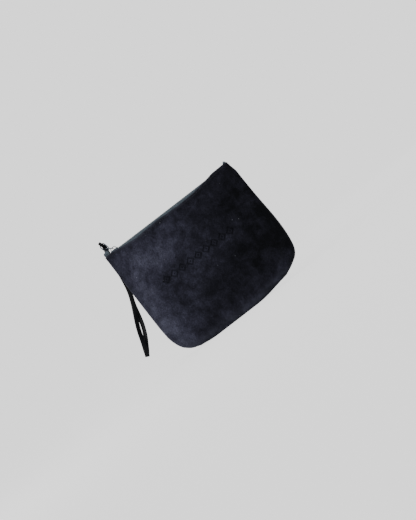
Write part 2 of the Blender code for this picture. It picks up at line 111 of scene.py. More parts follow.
def softened(cage):
    """The cage's points moved to where a smooth surface over the cage passes. The ends stay."""
    out = cage.copy()
    out[1:-1] = (cage[:-2] + 4 * cage[1:-1] + cage[2:]) / 6
    return out


def spaced(*stretches):
    """Places from 0 to 1 with a chosen number of steps in each stretch: (end of the stretch, steps)."""
    places, start = [0.0], 0.0
    for end, steps in stretches:
        places += [start + (end - start) * (k + 1) / steps for k in range(steps)]
        start = end
    return np.array(places)


def mirrored(points):
    """The same points in reverse order with the first of each pair turned round."""
    return [(-a, b) for a, b in reversed(points)]


def bumpy(x, y, z, scale, seed):
    """Smooth noise about 0 at a point, with features 1 / scale across."""
    return noise.noise(Vector((x * scale + seed * 7.3, y * scale - seed * 3.1, z * scale + seed * 5.7)))


# Materials ------------------------------------------------------------


class Nodes:
    """A short way to build a node tree."""

    def __init__(self, name):
        self.material = bpy.data.materials.new(name)
        self.material.use_nodes = True
        self.tree = self.material.node_tree
        self.shader = self.tree.nodes["Principled BSDF"]
        self.place = self.add("TexCoord").outputs["Object"]

    def fill(self, socket, value):
        """Gives a socket a number, a colour, a vector or another node's output."""
        if isinstance(value, bpy.types.NodeSocket):
            self.tree.links.new(value, socket)
        elif hasattr(value, "__len__"):
            socket.default_value = (*value, 1.0)[: len(socket.default_value)]
        else:
            socket.default_value = value

    def add(self, kind, sockets=(), **settings):
        node = self.tree.nodes.new("ShaderNode" + kind)
        for name, value in settings.items():
            setattr(node, name, value)
        for name, value in dict(sockets).items():
            self.fill(node.inputs[name], value)
        return node

    def set(self, **sockets):
        """Fills the shader's sockets, such as Base_Color=colour."""
        for name, value in sockets.items():
            self.fill(self.shader.inputs[name.replace("_", " ")], value)

    def texture(self, kind, stretch, sockets, **settings):
        """A texture in the piece's own coordinates, multiplied by stretch if that is given."""
        vector = self.place
        if stretch:
            vector = self.add("Mapping", {"Scale": stretch, "Vector": vector}).outputs["Vector"]
        return self.add(kind, {"Vector": vector, **sockets}, **settings).outputs["Fac"]

    def noise(self, scale, detail=4.0, roughness=0.55, stretch=None, distortion=0.0):
        sockets = {"Scale": scale, "Detail": detail, "Roughness": roughness, "Distortion": distortion}
        return self.texture("TexNoise", stretch, sockets)

    def wave(self, scale, direction, stretch=None):
        return self.texture("TexWave", stretch, {"Scale": scale}, bands_direction=direction)

    def ramp(self, source, *stops):
        node = self.add("ValToRGB", {"Fac": source})
        band = node.color_ramp
        while len(band.elements) < len(stops):
            band.elements.new(0.5)
        for element, (at, colour) in zip(band.elements, stops):
            element.position = at
            element.color = (*colour, 1.0) if hasattr(colour, "__len__") else (colour, colour, colour, 1.0)
        return node.outputs["Color"]

    def mix(self, factor, one, two, blend="MIX"):
        sockets = {"Factor": factor, "A": one, "B": two}
        return self.add("Mix", sockets, data_type="RGBA", blend_type=blend).outputs["Result"]

    def maths(self, operation, one, two):
        return self.add("Math", {0: one, 1: two}, operation=operation).outputs["Value"]

    def bump(self, height, strength, distance, onto=None):
        sockets = {"Strength": strength, "Distance": distance, "Height": height}
        if onto:
            sockets["Normal"] = onto
        return self.add("Bump", sockets).outputs["Normal"]

    def attribute(self, name):
        return self.add("Attribute", attribute_name=name).outputs["Fac"]


LINT_PER_METRE = 115.0          # places along a metre where a speck may sit
LINT_SHARE = 0.14               # share of the places that have one
PORES_PER_METRE = 1300.0
THREADS_PER_METRE = 520.0       # wave scale of the tape's weave
LINING_PER_METRE = 620.0


def suede_material():
    """Brushed nubuck: mottled pile, with painted light and shade across the front, worn lighter along the
    seams and folds, painted shade in the pressed grooves, and a few specks of lint.
    """
    n = Nodes("suede_look")
    broad = n.noise(24.0, 5.0, 0.62, distortion=0.3)
    patches = n.noise(85.0, 4.0, 0.6, distortion=0.5)
    fibre = n.noise(1900.0, 4.0, 0.75)
    clumps = n.noise(620.0, 3.0, 0.65, stretch=(1.0, 1.0, 0.6), distortion=0.6)
    tone_with_painted_light = n.maths("ADD", n.maths("MULTIPLY", broad, 0.55), n.maths("MULTIPLY", patches, 0.45))
    # Painted light and shade, with the pile's brushing patches: the front lighter on the left, darker towards
    # the right
    tone_with_painted_light = n.maths("ADD", tone_with_painted_light, n.maths("MULTIPLY", n.maths("SUBTRACT", n.attribute("brushed"), 0.5), 0.42))
    colour = n.ramp(
        tone_with_painted_light,
        (0.28, (0.0010, 0.0011, 0.0016)),
        (0.46, (0.0041, 0.0041, 0.0067)),
        (0.60, (0.0096, 0.0097, 0.0158)),
        (0.76, (0.0200, 0.0205, 0.0310)),
    )
    colour = n.mix(1.0, colour, n.ramp(fibre, (0.38, 0.45), (0.64, 1.70)), "MULTIPLY")
    colour = n.mix(1.0, colour, n.ramp(clumps, (0.35, 0.70), (0.65, 1.35)), "MULTIPLY")
    worn = n.maths("MULTIPLY", n.attribute("worn"), n.ramp(n.noise(140.0, 3.0), (0.35, 0.25), (0.65, 1.0)))
    colour = n.mix(n.maths("MULTIPLY", worn, 0.40), colour, (0.026, 0.027, 0.038))
    # Painted shade in the pressed ornament's grooves: darker where the leather is pressed in
    colour = n.mix(n.maths("MULTIPLY", n.attribute("pressed"), 0.60), colour, (0.0010, 0.0010, 0.0018))
    cells = n.add("TexVoronoi", {"Scale": LINT_PER_METRE, "Vector": n.place})
    chosen = n.add("SeparateColor", {"Color": cells.outputs["Color"]})
    ragged = n.maths("MULTIPLY", n.maths("SUBTRACT", n.noise(1300.0, 2.0), 0.5), 0.30)
    near = n.ramp(n.maths("ADD", cells.outputs["Distance"], ragged), (0.020, 1.0), (0.060, 0.0))
    lint = n.maths("MULTIPLY", near, n.maths("GREATER_THAN", chosen.outputs["Red"], 1 - LINT_SHARE))
    colour = n.mix(n.maths("MULTIPLY", lint, 0.16), colour, (0.42, 0.44, 0.50))
    n.set(Specular_IOR_Level=0.05, Sheen_Weight=0.03, Sheen_Roughness=0.45, Sheen_Tint=(0.62, 0.68, 0.85))
    relief = n.bump(n.noise(260.0, 4.0, 0.6), 0.35, 0.0006)
    tufts = n.bump(clumps, 0.40, 0.0004, relief)
    normal = n.bump(fibre, 0.60, 0.0003, tufts)
    n.set(Base_Color=colour, Roughness=n.ramp(tone_with_painted_light, (0.3, 0.97), (0.7, 0.82)), Normal=normal)
    return n.material


def strap_material():
    """Smooth black leather with a fine pebble, and edges rubbed a little blue."""
    n = Nodes("strap_look")
    pores = n.add("TexVoronoi", {"Scale": PORES_PER_METRE, "Vector": n.place}, feature="DISTANCE_TO_EDGE")
    shade = n.noise(60.0, 4.0)
    colour = n.ramp(shade, (0.35, (0.0005, 0.0006, 0.0010)), (0.68, (0.0013, 0.0016, 0.0024)))
    colour = n.mix(n.maths("MULTIPLY", n.attribute("worn"), 0.6), colour, (0.0080, 0.0100, 0.0150))
    rough = n.ramp(n.noise(220.0, 3.0), (0.3, 0.38), (0.7, 0.56))
    coarse = n.bump(n.noise(420.0, 3.0), 0.25, 0.0004)
    pebble = n.bump(pores.outputs["Distance"], 0.35, 0.0002, coarse)
    n.set(Base_Color=colour, Specular_IOR_Level=0.07, Roughness=rough, Normal=pebble)
    return n.material


def metal_material():
    """Dark plated zinc, satin, with handling marks where the plating is thinner."""
    n = Nodes("gunmetal_look")
    colour = n.ramp(
        n.noise(420.0, 4.0, 0.6),
        (0.32, (0.022, 0.027, 0.034)),
        (0.58, (0.045, 0.055, 0.066)),
        (0.76, (0.120, 0.140, 0.160)),
    )
    rough = n.ramp(n.noise(900.0, 3.0), (0.3, 0.36), (0.7, 0.54))
    scratches = n.bump(n.noise(1500.0, 2.0), 0.12, 0.0001)
    n.set(Base_Color=colour, Metallic=0.92, Roughness=rough, Normal=scratches)
    return n.material


def tape_material():
    """Woven zip tape: a fine herringbone of blue-grey and darker threads."""
    n = Nodes("tape_look")
    one = n.wave(THREADS_PER_METRE, "DIAGONAL", stretch=(1.0, 1.0, 0.4))
    two = n.wave(THREADS_PER_METRE, "DIAGONAL", stretch=(1.0, -1.0, -0.4))
    rows = n.wave(THREADS_PER_METRE / 2, "DIAGONAL", stretch=(0.0, 1.0, 1.0))
    weave = n.mix(n.ramp(rows, (0.45, 0.0), (0.55, 1.0)), one, two)
    base = n.ramp(weave, (0.2, (0.010, 0.015, 0.020)), (0.8, (0.032, 0.045, 0.056)))
    tone = n.ramp(n.noise(90.0, 4.0), (0.3, (0.75, 0.75, 0.75)), (0.7, (1.15, 1.15, 1.15)))
    n.set(Roughness=0.82, Specular_IOR_Level=0.25, Sheen_Weight=0.12, Sheen_Roughness=0.5)
    n.set(Base_Color=n.mix(1.0, base, tone, "MULTIPLY"), Normal=n.bump(weave, 0.5, 0.00015))
    return n.material


def cotton_material():
    """Plain woven lining."""
    n = Nodes("cotton_look")
    weave = n.mix(0.5, n.wave(LINING_PER_METRE, "X"), n.wave(LINING_PER_METRE, "Z"))
    colour = n.ramp(weave, (0.25, (0.014, 0.015, 0.022)), (0.75, (0.045, 0.048, 0.062)))
    n.set(Roughness=0.9, Specular_IOR_Level=0.2)
    n.set(Base_Color=colour, Normal=n.bump(weave, 0.4, 0.0002))
    return n.material


def thread_material():
    """Twisted sewing thread, dyed to match."""
    n = Nodes("thread_look")
    twist = n.wave(900.0, "DIAGONAL")
    colour = n.ramp(twist, (0.3, (0.0040, 0.0042, 0.0066)), (0.8, (0.0150, 0.0155, 0.0220)))
    n.set(Roughness=0.75, Specular_IOR_Level=0.08, Sheen_Weight=0.02)
    n.set(Base_Color=colour, Normal=n.bump(twist, 0.5, 0.0001))
    return n.material


SUEDE = suede_material()
STRAP_LEATHER = strap_material()
GUNMETAL = metal_material()
TAPE_WEAVE = tape_material()
COTTON = cotton_material()
THREAD = thread_material()


# Making pieces --------------------------------------------------------


def new_object(name, data):
    item = bpy.data.objects.new(name, data)
    bpy.context.scene.collection.objects.link(item)
    return item


def add_piece(name, mesh, material, body, slot, *replaced):
    item = new_object(name, mesh)
    mesh.materials.append(material)
    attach(item, body)
    if replaced:
        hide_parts(*replaced)
    return item


def grid_mesh(name, grid, flip=False):
    """A mesh over a grid of points (rows, columns, 3)."""
    rows, columns = grid.shape[:2]
    faces = []
    for i in range(rows - 1):
        for j in range(columns - 1):
            a, b = i * columns + j, (i + 1) * columns + j
            face = (a, a + 1, b + 1, b)
            faces.append(face[::-1] if flip else face)
    mesh = bpy.data.meshes.new(name)
    mesh.from_pydata(grid.reshape(-1, 3).tolist(), [], faces)
    mesh.update()
    mesh.shade_smooth()
    return mesh


def paint(mesh, name, values):
    """A number at each vertex that the material reads."""
    layer = mesh.attributes.new(name, "FLOAT", "POINT")
    layer.data.foreach_set("value", np.asarray(values, np.float32).ravel())


def thicken(item, thickness, offset=-1.0, even=False):
    modifier = item.modifiers.new("thickness", "SOLIDIFY")
    modifier.thickness = thickness
    modifier.offset = offset
    modifier.use_even_offset = even


def round_edges(item, width, angle=35.0):
    modifier = item.modifiers.new("rounded", "BEVEL")
    modifier.width = width
    modifier.segments = 2
    modifier.limit_method = "ANGLE"
    modifier.angle_limit = radians(angle)


# Leather body ---------------------------------------------------------

# The same cage as the frame's panels: share of the height, half width and depth, then the turned corners
BODY_ROWS = (
    (1.00, 1.000, 0.00),
    (0.94, 1.002, 0.05),
    (0.78, 1.003, 0.18),
    (0.60, 1.003, 0.36),
    (0.42, 1.002, 0.56),
    (0.27, 0.998, 0.74),
)
CORNER_ROWS = ((0.030, 0.06, 0.90), (0.015, 0.26, 0.97), (0.0055, 0.58, 1.00))
BASE_SHARES = (0.12, 0.55, 1.0)
BASE_DRAWS_IN = 0.12        # how much shorter the base's middle seam is than its rim
RIM_EASE = 0.0012           # how far the base's rim lies inside its full depth
STEPS = len(BODY_ROWS) + len(CORNER_ROWS) + len(BASE_SHARES)


def body_section(height, half_width, depth, belly):
    """One row of the cage, from the left side seam over the middle of the face to the right one."""
    side = depth - 0.9 * belly
    ease = 0.55 * depth
    left = [
        (-half_width, SEAM),
        (-half_width, 0.55 * side),
        (-half_width + 0.12 * ease, side),
        (-half_width + 0.016 + 0.3 * ease, side + 0.35 * (depth + belly - side)),
        (-half_width * 0.52, side + 0.80 * (depth + belly - side)),
    ]
    return [(x, y, height) for x, y in left + [(0.0, depth + belly)] + mirrored(left)]


def body_cage():
    """Rows of cage points from the zip down and under the base to its middle seam."""
    rows = []
    for share, width, deep in BODY_ROWS:
        belly = BELLY * sin(pi * share) if share < 1 else 0.0
        rows.append(body_section(share * EDGE, HALF * width, MOUTH + (BASE - MOUTH) * deep, belly))
    for height, turn, deep in CORNER_ROWS:
        half_width = HALF + (BASE_HALF - HALF) * turn
        rows.append(body_section(height, half_width, MOUTH + (BASE - MOUTH) * deep, 0.0))
    rim = body_section(0.0, BASE_HALF, BASE - RIM_EASE, 0.0)
    rows.append(rim)
    for share in BASE_SHARES:
        rows.append([(x * (1 - BASE_DRAWS_IN * share), y + (SEAM - y) * share, 0.0) for x, y, _ in rim])
    return np.array(rows)


def evenly(line, places):
    """Points of a line at the given shares of its length."""
    fine = spline(line, np.linspace(0, 1, 301))
    lengths = np.concatenate([[0], np.cumsum(np.linalg.norm(np.diff(fine, axis=0), axis=1))])
    return np.stack([np.interp(places * lengths[-1], lengths, fine[:, k]) for k in range(3)], axis=1)


def body_surface(columns, rows):
    """The smooth half shell: (rows, columns, 3), with y as the distance from the middle plane."""
    sections = np.array([evenly(softened(row), columns) for row in softened(body_cage())])
    return spline(sections, rows)


def outward(grid):
    """Unit normals of a half shell that has its front at +y."""
    normal = np.cross(np.gradient(grid, axis=1), np.gradient(grid, axis=0))
    return normal / np.maximum(np.linalg.norm(normal, axis=2, keepdims=True), 1e-12)


ORNAMENT_X = -0.0035
ORNAMENT_Z = 0.1005
ORNAMENT_PITCH = 0.0134
ORNAMENT_COUNT = 9
ORNAMENT_HALF = 0.0064      # from the middle of a lozenge to a corner
ORNAMENT_STROKE = 0.0012
PRESS_DEPTH = 0.0008


def ornament(x, z):
    """1 inside the pressed row of lozenge outlines across the front, 0 outside it."""
    reach = ORNAMENT_PITCH * (ORNAMENT_COUNT - 1) / 2
    x = x - ORNAMENT_X
    nearest = np.clip(np.round((x + reach) / ORNAMENT_PITCH), 0, ORNAMENT_COUNT - 1) * ORNAMENT_PITCH - reach
    size = np.abs(x - nearest) / ORNAMENT_HALF + np.abs(z - ORNAMENT_Z) / ORNAMENT_HALF
    off = np.abs(size - 0.82) * ORNAMENT_HALF * 0.72
    line = fade(ORNAMENT_STROKE * 0.5, ORNAMENT_STROKE * 1.15, off)
    dot = fade(0.10, 0.26, size)
    return np.maximum(line, dot)


def hill(x, z, at, size, angle=0.0):
    """A smooth bump of height 1 at a place, longer along its own axis."""
    c, s = cos(radians(angle)), sin(radians(angle))
    u = ((x - at[0]) * c + (z - at[1]) * s) / size[0]
    v = (-(x - at[0]) * s + (z - at[1]) * c) / size[1]
    return np.exp(-(u * u + v * v))


EDGE_RISE = 0.0008          # how far the leather stands higher than its plain form along the zip
END_RISES = {-1: (0.0036, 0.0062), 1: (0.0016, 0.0038)}     # and at its left and right ends, front and back
DIP = 0.0015                # two shallow dips
DIPS_AT = (-0.058, 0.010)
CORNER_IN = 0.0034          # how far the right top corner draws in
SIDE_OUT = 0.0034           # how far the right side bellies out


def edge_wave(x, side):
    """How far the leather's top edge rises or dips along the zip."""
    shift = 0.0 if side < 0 else 0.9
    left, right = END_RISES[side]
    lift = np.where(x > 0, right * smoothstep(0.030, 0.100, x), left * smoothstep(0.060, 0.098, -x))
    waves = 0.0010 * hill(x, 0 * x, (-0.024, 0.0), (0.016, 1.0))
    for at in DIPS_AT:
        waves = waves - DIP * hill(x, 0 * x, (at, 0.0), (0.021, 1.0))
    return EDGE_RISE + lift + waves + 0.0004 * np.sin(x * 92 + 1.0 + shift) + 0.0002 * np.sin(x * 260 + shift)


def base_lift(x):
    """How far the ends of the base stand off the table: it sags onto it only in the middle."""
    return 0.0080 * smoothstep(0.015, 0.085, x) ** 1.2 + 0.0022 * hill(x, 0 * x, (-0.074, 0.0), (0.014, 1.0))


def side_shift(x, z):
    """How far the right side bellies out and its top corner draws in."""
    belly = SIDE_OUT * hill(0 * z, z, (0.0, 0.068), (1.0, 0.045))
    return smoothstep(0.06, 0.105, x) * (belly + 0.0005 - CORNER_IN * smoothstep(0.152, EDGE, z))


ZIP_WAVE = 0.00022


def zip_wave(x):
    """The zip's own smaller rise and dip, which leaves the slider a straight way."""
    return ZIP_WAVE * (smoothstep(0.060, 0.098, np.abs(x)) - hill(x, 0 * x, (0.0, 0.0), (0.06, 1.0)))


# Where the front's pile lies lighter or darker, partly in patches of brushing and partly as painted light and
# shade, lighter on the left and darker towards the right: how much, the place, how far across and up, degrees
# of turn
PILE_AND_PAINTED_LIGHT = (
    (0.75, (-0.093, 0.080), (0.016, 0.075), 0),
    (0.42, (-0.070, 0.142), (0.040, 0.022), 0),
    (0.28, (-0.036, 0.132), (0.038, 0.026), 0),
    (0.35, (-0.075, 0.030), (0.030, 0.024), 0),
    (0.30, (0.060, 0.155), (0.045, 0.012), 0),
    (0.25, (0.085, 0.030), (0.018, 0.012), 0),
    (0.45, (0.083, 0.020), (0.026, 0.008), 38),
    (-0.35, (0.092, 0.060), (0.016, 0.050), 0),
    (-0.20, (0.000, 0.045), (0.050, 0.040), 0),
)


def brushed(x, z, side):
    """How light the pile lies, from -1, dark, to 1: brushing patches with painted light and shade, lighter on
    the left and darker towards the right.
    """
    if side > 0:
        plain = np.vectorize(lambda a, b: 1.2 * bumpy(a, 0.3, b, 12.0, 9.0))(x, z)
        by_seam = smoothstep(0.070, 0.103, np.abs(x))
        return plain + by_seam * (brushed(x, z, -1) - plain)
    # Painted shade: darker towards the right
    return sum(much * hill(x, z, *rest) for much, *rest in PILE_AND_PAINTED_LIGHT) - 0.75 * smoothstep(-0.035, 0.095, x)


# Hollows and swells of a nearly empty pouch, then a pull line and its ridge from each end of the zip
SWELLS = (
    (0.0020, (-0.066, 0.040), (0.030, 0.045), 12),
    (-0.0016, (0.050, 0.118), (0.045, 0.020), 20),
    (-0.0014, (-0.030, 0.142), (0.040, 0.013), -8),
    (0.0014, (0.030, 0.060), (0.040, 0.030), 35),
    (-0.0009, (-0.088, 0.140), (0.028, 0.0035), 62),
    (0.0006, (-0.081, 0.138), (0.026, 0.0035), 62),
    (-0.0009, (0.090, 0.142), (0.028, 0.0035), -60),
    (0.0006, (0.083, 0.140), (0.026, 0.0035), -60),
)
# Creases where the boxed corners turn under: which side, and both ends
CREASES = ((1, (0.1045, 0.052), (0.070, 0.012)), (-1, (0.1045, 0.040), (0.080, 0.008)))


def sculpt(x, z, side):
    """How far the leather stands out from the plain form, in metres."""
    height = smoothstep(0.0, 0.020, z) * fade(EDGE - 0.012, EDGE, z)
    seed = 1.0 if side < 0 else 4.0
    broad = np.vectorize(lambda a, b: bumpy(a, 0.0, b, 17.0, seed))(x, z)
    middle = np.vectorize(lambda a, b: bumpy(a, 0.0, b, 46.0, seed + 1))(x, z)
    form = 0.0026 * broad * height + 0.0007 * middle * height
    form += sum(much * hill(x, z, *rest) for much, *rest in SWELLS) * height
    for way, start, end in CREASES:
        dx, dz = end[0] - start[0], end[1] - start[1]
        length = np.hypot(dx, dz)
        u = ((way * x - start[0]) * dx + (z - start[1]) * dz) / length**2
        off = ((way * x - start[0]) * dz - (z - start[1]) * dx) / length
        run = smoothstep(-0.10, 0.15, u) * fade(0.75, 1.1, u)
        ridge, hollow = np.exp(-(((off - 0.001) / 0.0028) ** 2)), np.exp(-(((off - 0.0085) / 0.0045) ** 2))
        form += run * (0.0013 * ridge - 0.0011 * hollow)
    puckers = np.sin(x * 610 + 2.2 * np.sin(x * 90 + seed)) * np.exp(-(((EDGE - 0.004 - z) / 0.0075) ** 2))
    form += 0.00022 * puckers * fade(EDGE - 0.0035, EDGE - 0.001, z)
    return form


STITCH_DROP = 0.0032        # from the leather's edge to its row of stitches
LINING_EASE = 0.0009
LINING_FROM = 1.25          # row of the cage that the lining starts at, below the tape's hem
SEAM_SINKS = 0.0014         # how far the leather sinks into the side seams
ALLOWANCE = 0.00045         # how far the seam allowance behind shows
TURNED = 0.0004             # and the leather turned in along the zip
EDGE_ROUNDS = 0.0011        # how far the fold along the zip rounds over


def body_panel(name, side, panel_node, lining_node, columns, rows):
    """One suede panel and its lining, from one surface."""
    plain = body_surface(columns, rows)
    normals = outward(plain)
    x, y, z = plain[..., 0], plain[..., 1], plain[..., 2]
    face = np.clip(normals[..., 1], 0, 1)
    share = np.minimum(columns, 1 - columns)[None, :] * (2 * HALF + 2 * y.max(axis=1))[:, None]
    form = sculpt(x, z, side) * smoothstep(0.004, 0.022, share) * smoothstep(0.0, 0.5, face)
    # The turned seam: the edge sinks into it, and the allowance behind shows as a step
    seam = -SEAM_SINKS * fade(0.0, 0.0030, share)
    allowance = ALLOWANCE * fade(0.0068, 0.0085, share) * smoothstep(0.002, 0.004, share) * (z > 0.012)
    base_seam = -0.0006 * fade(0.0, 0.0022, y) * (z < 0.004)
    turned = TURNED * smoothstep(EDGE - 0.0068, EDGE - 0.0056, z)
    turned = turned - EDGE_ROUNDS * smoothstep(EDGE - 0.0016, EDGE, z) ** 2
    stitched = -0.0003 * np.exp(-(((z - (EDGE - STITCH_DROP)) / 0.0008) ** 2))
    pressed = ornament(x, z) * smoothstep(0.5, 0.9, face) if side < 0 else 0 * x
    total = form + seam + allowance + base_seam + turned + stitched - PRESS_DEPTH * pressed
    total = np.where((z < 0.0012) & (face < 0.3), np.minimum(total, 0.0), total)
    rise = edge_wave(x, side) * smoothstep(EDGE - 0.055, EDGE, z)
    rise = rise + base_lift(x) * fade(0.0, 0.034, z)
    swing = side_shift(x, z)

    grid = plain + normals * total[..., None]
    grid[..., 0] += swing
    grid[..., 2] = np.maximum(grid[..., 2] + rise, 0.0)
    grid[..., 1] = np.maximum(grid[..., 1], SEAM)
    worn = np.maximum(fade(0.0015, 0.0065, share), 0.8 * smoothstep(EDGE - 0.004, EDGE - 0.0006, z))
    worn = np.maximum(worn, 0.7 * np.exp(-(((z - 0.006) / 0.006) ** 2)) * (face > 0.2))
    mesh = grid_mesh(name, grid * (1.0, side, 1.0), flip=side < 0)
    paint(mesh, "worn", worn)
    # The pressed mask also darkens the grooves in the material, as painted shade
    paint(mesh, "pressed", pressed)
    # Painted light and shade as well as brushing patches, read by the suede's material
    paint(mesh, "brushed", np.clip(0.5 + 0.5 * brushed(x, z, side), 0, 1))
    panel = add_piece(name, mesh, SUEDE, "pouch", "suede", panel_node)
    thicken(panel, LEATHER)

    inner = plain + normals * (np.minimum(form, 0.0) - LEATHER - LINING_EASE)[..., None]
    inner[..., 0] += swing
    inner[..., 2] += rise
    inner = inner[rows * STEPS >= LINING_FROM][::2, ::2]
    inner[..., 1] = np.maximum(inner[..., 1], 0.0016)
    inner[..., 2] = np.maximum(inner[..., 2], LEATHER + 0.0006)
    lining_mesh = grid_mesh(name + "_lining", inner * (1.0, side, 1.0), flip=side < 0)
    lining = add_piece(lining_node + "_cloth", lining_mesh, COTTON, "pouch", "cotton_lining", lining_node)
    thicken(lining, LINING)
    return mesh


FRONT_COLUMNS = spaced((0.014, 8), (0.05, 12), (0.20, 20), (0.80, 220), (0.95, 20), (0.986, 12), (1.0, 8))
BACK_COLUMNS = spaced((0.014, 8), (0.05, 10), (0.95, 110), (0.986, 10), (1.0, 8))
FRONT_ROWS = spaced((0.05, 14), (0.22, 26), (0.28, 44), (0.42, 24), (0.75, 34), (1.0, 14))
BACK_ROWS = spaced((0.05, 14), (0.42, 54), (0.75, 34), (1.0, 14))
front_mesh = body_panel("suede_front", -1, "front_panel", "front_lining", FRONT_COLUMNS, FRONT_ROWS)
back_mesh = body_panel("suede_back", 1, "back_panel", "back_lining", BACK_COLUMNS, BACK_ROWS)


# Swept and joined shapes ----------------------------------------------


def unit(vectors):
    return vectors / np.linalg.norm(vectors, axis=-1, keepdims=True)


def circle(radius, sides):
    return [(radius * cos(2 * pi * k / sides), radius * sin(2 * pi * k / sides)) for k in range(sides)]


def sweep(points, up, profile, closed=False):
    """Vertices and faces of a profile of (sideways, outward) places carried along points."""
    points = np.asarray(points, float)
    if closed:
        ahead = unit(np.roll(points, -1, axis=0) - np.roll(points, 1, axis=0))
    else:
        ahead = unit(np.gradient(points, axis=0))
    side = unit(np.cross(ahead, np.broadcast_to(np.asarray(up, float), points.shape)))
    return rings_between(points, side, np.cross(side, ahead), profile, closed)


def rings_between(points, side, out, profile, closed=False):
    """The same along points that come with their own sideways and outward vectors."""
    profile = np.asarray(profile, float)
    rings = points[:, None] + side[:, None] * profile[..., 0:1] + out[:, None] * profile[..., 1:2]
    return joined(rings, closed)


def joined(rings, closed=False):
    """Vertices and faces over rings of points (count, around, 3), capped at both ends unless closed."""
    count, around = rings.shape[:2]
    faces = []
    for i in range(count if closed else count - 1):
        for j in range(around):
            a, b, k = i * around, ((i + 1) % count) * around, (j + 1) % around
            faces.append((a + j, a + k, b + k, b + j))
    if not closed:
        faces += [tuple(range(around)), tuple(range((count - 1) * around, count * around))]
    return rings.reshape(-1, 3), faces


def solid_mesh(name, shapes, sharp=40.0):
    """One mesh from several closed shapes of (vertices, faces), all facing out."""
    vertices, faces, start = [], [], 0
    for points, shape_faces in shapes:
        vertices.append(np.asarray(points, float))
        faces += [tuple(start + k for k in face) for face in shape_faces]
        start += len(points)
    mesh = bpy.data.meshes.new(name)
    mesh.from_pydata(np.concatenate(vertices).tolist(), [], faces)
    bm = bmesh.new()
    bm.from_mesh(mesh)
    bmesh.ops.recalc_face_normals(bm, faces=bm.faces)
    bm.to_mesh(mesh)
    bm.free()
    mesh.shade_smooth()
    mesh.set_sharp_from_angle(angle=radians(sharp))
    return mesh


def bevelled_box(low, high, width, taper=None):
    """A box between two corners with rounded edges, as (vertices, faces). taper moves its corners first."""
    bm = bmesh.new()
    corners_of = bmesh.ops.create_cube(bm, size=1.0)["verts"]
    low, high = np.array(low), np.array(high)
    for vert in corners_of:
        vert.co = Vector((low + high) / 2 + np.array(vert.co) * (high - low))
        if taper:
            vert.co = taper(vert.co)
    bmesh.ops.bevel(bm, geom=list(bm.edges), offset=width, segments=2, affect="EDGES", profile=0.5)
    bm.verts.index_update()
    shape = (np.array([v.co[:] for v in bm.verts]), [tuple(v.index for v in f.verts) for f in bm.faces])
    bm.free()
    return shape


# Zip ------------------------------------------------------------------

TOOTH_PITCH = 0.0028
TOOTH_LENGTH = 0.0015
TOOTH_HEAD = 0.00012            # from the middle plane to a tooth's tip, clear of the slider's keel
CORD_RADIUS = 0.0004
CORD_Y = abs(TEETH_LOW.y) - CORD_RADIUS
TAPE = 0.0005
TAPE_TURN = 0.0009              # radius of the tape's turn down behind the leather
TAB_LIFT = 0.0040               # how far the tabs puff up
RING_LIFT = 0.0024              # and the left one in the hollow under the ring
TAB_THICKNESS = 0.0011


def zip_tape(name, side, node):
    """A woven tape: flat beside the teeth, then turned down behind the leather."""
    wall = -TAPE_LOW.y - TAPE / 2
    inner = CORD_Y + CORD_RADIUS * 0.5
    turn = TAPE_TURN

    def profile_at(x):
        lift = float(zip_wave(x))
        sway = 0.00012 * sin(x * 610 + side)
        points = [(inner + (wall - turn - inner) * k / 4, ZIP + lift) for k in range(5)]
        points += [
            (wall - turn + (turn + sway) * sin(pi * k / 10), ZIP + lift - turn * (1 - cos(pi * k / 10)))
            for k in range(1, 6)
        ]
        hem = ZIP - turn + lift - TAPE_LOW.z
        points += [(wall + sway * (1 - k / 6), ZIP - turn + lift - hem * k / 6) for k in range(1, 7)]
        return [(side * y, z) for y, z in points]

    places = np.linspace(TAPE_LOW.x, TAPE_HIGH.x, 200)
    grid = np.array([[(x, y, z) for y, z in profile_at(x)] for x in places])
    item = add_piece(name, grid_mesh(name, grid), TAPE_WEAVE, "pouch", "zip_tape", node)
    thicken(item, TAPE, 0.0, True)


def tooth(side):
    """One clamped tooth at x = 0: a narrower rounded head, a waist, and legs round the tape's cord."""
    outside = CORD_Y + CORD_RADIUS * 0.9
    height = (TEETH_HIGH.z - TEETH_LOW.z) / 2

    def narrow(co):
        if abs(co.y) < CORD_Y / 2:
            return Vector((co.x * 0.78, co.y, co.z * 0.74))
        return co

    y = sorted((side * TOOTH_HEAD, side * outside))
    half = TOOTH_LENGTH / 2
    body = bevelled_box((-half, y[0], -height), (half, y[1], height), 0.00022, narrow)
    y = sorted((side * (TOOTH_HEAD + 0.0004), side * (TOOTH_HEAD + 0.0011)))
    half *= 0.55
    nub = bevelled_box((-half, y[0], height * 0.70), (half, y[1], height * 0.96), 0.00012)
    return [body, nub]


def zip_teeth(name, side, phase, node, seed):
    """A row of teeth clamped on its cord, each a hair out of line with the next."""
    randomly = np.random.default_rng(seed)
    shapes, x = [], TEETH_LOW.x + TOOTH_PITCH * (0.6 + phase)
    pattern = tooth(side)
    while x + TOOTH_LENGTH < TEETH_HIGH.x - 0.0023:
        turn, tip = randomly.normal(0, 0.018), randomly.normal(0, 0.010)
        middle = x + TOOTH_LENGTH / 2
        for points, faces in pattern:
            moved = points.copy()
            moved[:, 0] += middle + turn * (points[:, 1] - side * CORD_Y)
            moved[:, 2] += ZIP + float(zip_wave(middle)) + tip * (abs(points[:, 1]) - CORD_Y)
            shapes.append((moved, faces))
        x += TOOTH_PITCH
    add_piece(name, solid_mesh(name, shapes), GUNMETAL, "pouch", "gunmetal", node)
    places = np.linspace(TEETH_LOW.x, TEETH_HIGH.x, 160)
    middle = [(x, side * CORD_Y, ZIP + float(zip_wave(x))) for x in places]
    cord = solid_mesh(name + "_cord", [sweep(middle, (0, 0, 1), circle(CORD_RADIUS, 12))])
    add_piece(name + "_cord", cord, TAPE_WEAVE, "pouch", "zip_tape", node)


